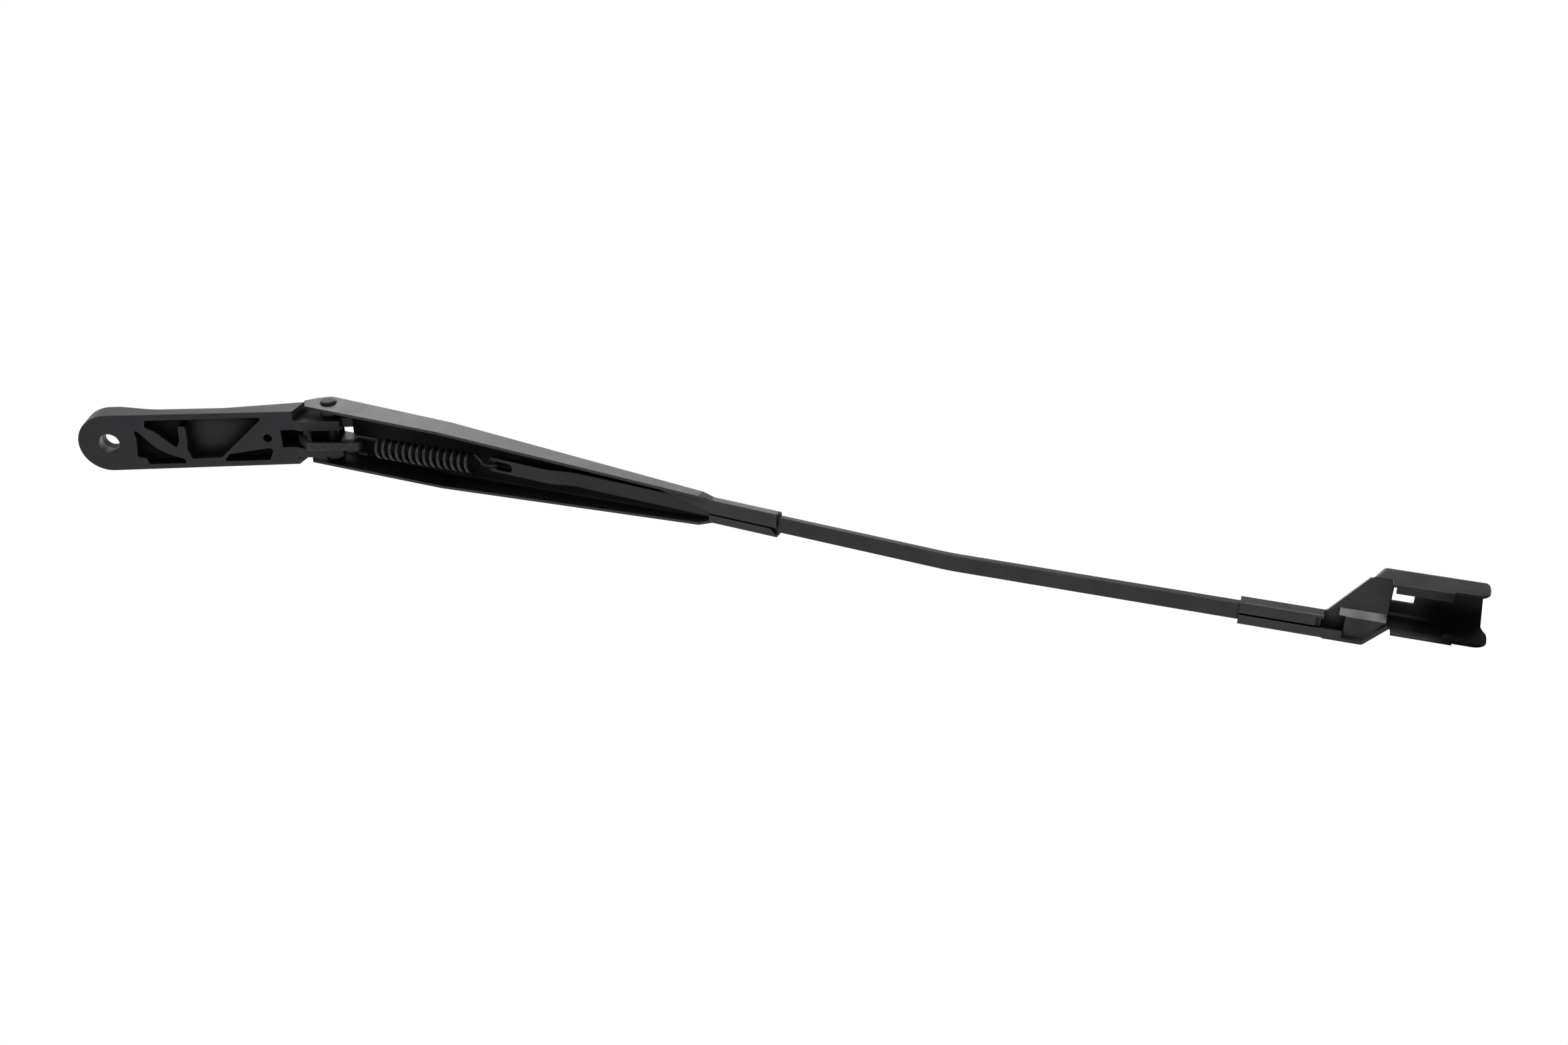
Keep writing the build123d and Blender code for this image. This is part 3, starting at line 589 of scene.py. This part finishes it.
def wire_steel(name):
    """Spring wire: bands along the wire and stains as colour, and painted shade that makes it nearly black
    inside the coil.
    """
    material, place = finish(name, Metallic=0.55, IOR=1.5)
    along = place.node("ShaderNodeAttribute", {"attribute_name": "along"}, None, "Fac")
    outward = place.node("ShaderNodeAttribute", {"attribute_name": "outward"}, None, "Fac")
    stains = place.noise(wire_stain_size, 4)
    band_inputs = {"W": along, "Scale": 1 / band_length, "Detail": 4.0}
    bands = along.node("ShaderNodeTexNoise", {"noise_dimensions": "1D"}, band_inputs)
    tone = (0.5 * stains + 0.5 * bands).step(0.3, 0.7)
    grey = tone.blend(linear(46, 45, 46), linear(78, 77, 78))
    olive = tone.blend(linear(44, 43, 37), linear(64, 61, 52))
    colour = along.step(olive_from, olive_to).blend(grey, olive)
    # Painted shade: the inside of the coil and its recesses go nearly black and dull.
    inner = 1 - (1 - 0.9 * recess(place, wire_recess_reach)) * (1 - 0.94 * outward.step(0.80, 0.0))
    colour = inner.blend(colour, coil_shade_black)
    roughness = 0.4 + 0.2 * (stains - 0.5) + 0.1 * (bands - 0.5) + 0.3 * inner
    relief = {"Strength": 0.15, "Distance": band_depth, "Height": bands}
    feed(material, Base_Color=colour, Roughness=roughness, Normal=place.node("ShaderNodeBump", None, relief))
    return material


spring_steel = wire_steel("spring_steel")

# %% [markdown]
# ## The round spring in its place
#
# The spring rides on the link, where its loop hangs, and stands for the coarse one. On the real arm it
# stretches as the arm is lifted. If the spring rode on the arm, its loop would leave the link in full
# view, so the gap is left at the hook, inside the channel.


# %% Spring in place of the coarse one
def surface(name, points, faces, material, values):
    """Mesh object from whole arrays, shaded smooth, with each named value as an attribute of its points."""
    mesh = bpy.data.meshes.new(name)
    mesh.from_pydata(points.tolist(), [], faces)
    mesh.polygons.foreach_set("use_smooth", np.ones(len(mesh.polygons), bool))
    for key, value in values.items():
        mesh.attributes.new(key, "FLOAT", "POINT").data.foreach_set("value", value)
    mesh.materials.append(material)
    made = bpy.data.objects.new(name, mesh)
    scene.collection.objects.link(made)
    print("piece", name, "with", len(mesh.polygons), "faces")
    return made


in_loop = path[:, 2] < coil_radius
in_hook = path[:, 2] >= coil_end
facing = np.where(in_loop[:, None], path - [0, 0, coil_radius], path * [1, 1, 0])
facing = np.where(in_hook[:, None], [1, 0, 0], facing)
pull = np.array([math.cos(pull_angle), 0, math.sin(pull_angle)])
across = np.array([0, -1, 0])
axes = np.stack([across, np.cross(pull, across), pull])
points, faces, values = tube(path @ axes + loop_point, facing @ axes, wire_radius, wire_sides)
spring = surface("round_spring", points, faces, spring_steel, values)
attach(spring, "link")
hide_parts("tension_spring")

# %% [markdown]
# ## Floor
#
# The photograph looks at the underside from below, on a white ground. A solid floor would be in the way, so
# this one is clear from behind and to the lamps, and from above it is pale paper that takes the shadow. Part
# of its white is a glow that only the camera, shiny surfaces and glass see. It grows with the distance, so
# that the paper runs into the white room without a line and no lamp has to be turned up for it.

# %% Floor
floor_half = 20.0
floor_gap = 2 * mm
floor_z = cad_low.z - floor_gap
square = np.array([[-1, -1, 0], [1, -1, 0], [1, 1, 0], [-1, 1, 0]])
floor_mesh = bpy.data.meshes.new("floor")
floor_mesh.from_pydata((square * floor_half + [0, 0, floor_z]).tolist(), [], [(0, 1, 2, 3)])
floor = bpy.data.objects.new("floor", floor_mesh)
scene.collection.objects.link(floor)

paper_cloud_size = 0.3
floor_paper, place = finish("floor_paper", Roughness=0.7)
paper_clouds = place.noise(paper_cloud_size, 3)
feed(floor_paper, Base_Color=paper_clouds.blend(linear(226, 226, 226), linear(232, 232, 231)))
floor_mesh.materials.append(floor_paper)
print("floor at z, mm:", round(floor_z / mm, 1))


# %% Floor that glows far away and is clear from behind
def background_rays(start):
    """1 for rays from the camera, off shiny surfaces or through glass, 0 for light that falls on things."""
    camera_ray = start.node("ShaderNodeLightPath", None, None, "Is Camera Ray")
    shiny_ray = start.node("ShaderNodeLightPath", None, None, "Is Glossy Ray")
    clear_ray = start.node("ShaderNodeLightPath", None, None, "Is Transmission Ray")
    return start.math("MAXIMUM", camera_ray, start.math("MAXIMUM", shiny_ray, clear_ray))


tree = floor_paper.node_tree
paper = Pattern(tree.nodes["Principled BSDF"].outputs[0])
near_glow = 0.4
glow_from, glow_full = 1.2, 6.0
away = place.node("ShaderNodeVectorMath", {"operation": "LENGTH"}, {0: place}, "Value")
far = away.step(glow_from, glow_full)
white = place.node("ShaderNodeEmission", None, {"Color": (1, 1, 1, 1), "Strength": 1.0})
glow = background_rays(place) * (near_glow + (1 - near_glow) * far)
lit_paper = place.node("ShaderNodeMixShader", None, {0: glow, 1: paper, 2: white})
behind = place.node("ShaderNodeNewGeometry", None, None, "Backfacing")
to_lamp = place.node("ShaderNodeLightPath", None, None, "Is Shadow Ray")
clear = place.node("ShaderNodeBsdfTransparent")
unseen = place.math("MAXIMUM", behind, to_lamp)
seen = place.node("ShaderNodeMixShader", None, {0: unseen, 1: lit_paper, 2: clear})
tree.links.new(seen.socket, tree.nodes["Material Output"].inputs["Surface"])
print("floor shader with", len(tree.nodes), "nodes")

# %% [markdown]
# ## White room
#
# The world is white to the camera and in reflections, and only a soft grey as light. So the ground comes out
# white while the black paint keeps its depth. A world that is simply bright would give the same ground,
# but it would light the paint from all sides and turn it grey.

# %% World
world = bpy.data.worlds.new("white_room")
world.use_nodes = True
scene.world = world
background = world.node_tree.nodes["Background"]
background.inputs["Color"].default_value = (1, 1, 1, 1)
ambient = 0.25
strength = ambient + (1 - ambient) * background_rays(Pattern(background.outputs[0]))
world.node_tree.links.new(strength.socket, background.inputs["Strength"])
print("ambient light", ambient, "of white")

# %% [markdown]
# ## Lamps
#
# Black paint shows its lamps more than its colour. A wide softbox stands where the channel's near wall
# mirrors it to the camera, a second one overhead gives the soft shadow, and a narrow one picks out the step
# of the blade holder. The place that this step mirrors lies below the floor's level. The lamp can stand
# there because the floor is clear to lamps, and a grid keeps its light off the rest. A lamp is given by its
# glow, the brightness of its face, because that is what a shiny wall shows. Blender wants its power, which
# is the glow times pi times the area, less for a grid.


# %% Softboxes
def softbox(name, place, aim, width, height, glow, grid=180):
    """Rectangular area lamp turned to its aim, with its glow straight ahead and its grid in degrees."""
    lamp = bpy.data.lights.new(name, "AREA")
    lamp.shape = "RECTANGLE"
    lamp.size = width
    lamp.size_y = height
    half_grid = math.radians(grid / 2)
    lamp.spread = 2 * half_grid
    lamp.energy = glow * math.pi * width * height * (1 - half_grid / math.tan(half_grid))
    made = bpy.data.objects.new(name, lamp)
    made.location = place
    made.rotation_euler = (Vector(aim) - Vector(place)).to_track_quat("-Z", "Y").to_euler()
    scene.collection.objects.link(made)
    print("lamp", name, "with", round(lamp.energy, 2), "W")


middle = (cad_low + cad_high) / 2
channel_wall = (0.2, 0, -0.03)
holder_step = (0.53, 0, -0.2)
softbox("wall_softbox", (0.09, -0.62, 1.12), aim=channel_wall, width=0.80, height=0.45, glow=2.6)
softbox("top_softbox", (0.5, 0.42, 1.3), aim=middle, width=1.0, height=1.0, glow=3.0)
softbox("side_softbox", (0.49, -1.25, -0.42), aim=holder_step, width=0.5, height=0.09, glow=90.0, grid=24)

# %% [markdown]
# ## Dark flag
#
# In a white room every shiny wall turns pale. Photographers hang a black card, a flag, where a wall would
# mirror the room, and that wall goes dark. This one does so for the wall of the hood. Darker paint could do
# it too, but then the wall would be dark from every side.

# %% Dark flag
flag_place = Vector((1.42, -0.86, 1.02))
hood_wall = Vector((0.56, -0.02, -0.2))
flag_size = 0.8
flag_mesh = bpy.data.meshes.new("dark_flag")
flag_mesh.from_pydata((square * flag_size / 2).tolist(), [], [(0, 1, 2, 3)])
flag = bpy.data.objects.new("dark_flag", flag_mesh)
flag.location = flag_place
flag.rotation_euler = (hood_wall - flag_place).to_track_quat("Z", "Y").to_euler()
scene.collection.objects.link(flag)
nap_size = 4 * mm
flag_cloth, place = finish("flag_cloth", Roughness=0.9)
feed(flag_cloth, Base_Color=place.noise(nap_size, 2).blend(linear(20, 20, 20), linear(34, 34, 34)))
flag_mesh.materials.append(flag_cloth)

# %% [markdown]
# ## Camera
#
# The camera stands below the part, tilted up at it and turned a few degrees about the line of sight. It
# could be moved by hand until the picture looks right. Its place, angles and lens were found from the
# photograph instead, by laying the CAD model's outline over the one there.

# %% Camera
sensor_width = 36
image_width = 2352
focal_pixels = 2300
roll = math.radians(4)
tilt = math.radians(28)
camera_place = (0.27885, -0.31471, -0.69418)
right = Vector((math.cos(roll), 0, -math.sin(roll)))
up = Vector((math.sin(tilt) * math.sin(roll), -math.cos(tilt), math.sin(tilt) * math.cos(roll)))
camera_data = bpy.data.cameras.new("camera")
camera_data.sensor_width = sensor_width
camera_data.lens = sensor_width * focal_pixels / image_width
camera_data.clip_start = 0.01
camera = bpy.data.objects.new("camera", camera_data)
facing_part = Matrix((right, up, right.cross(up))).transposed()
camera.matrix_world = Matrix.Translation(camera_place) @ facing_part.to_4x4()
scene.collection.objects.link(camera)
scene.camera = camera
print("lens, mm:", round(camera_data.lens, 1))
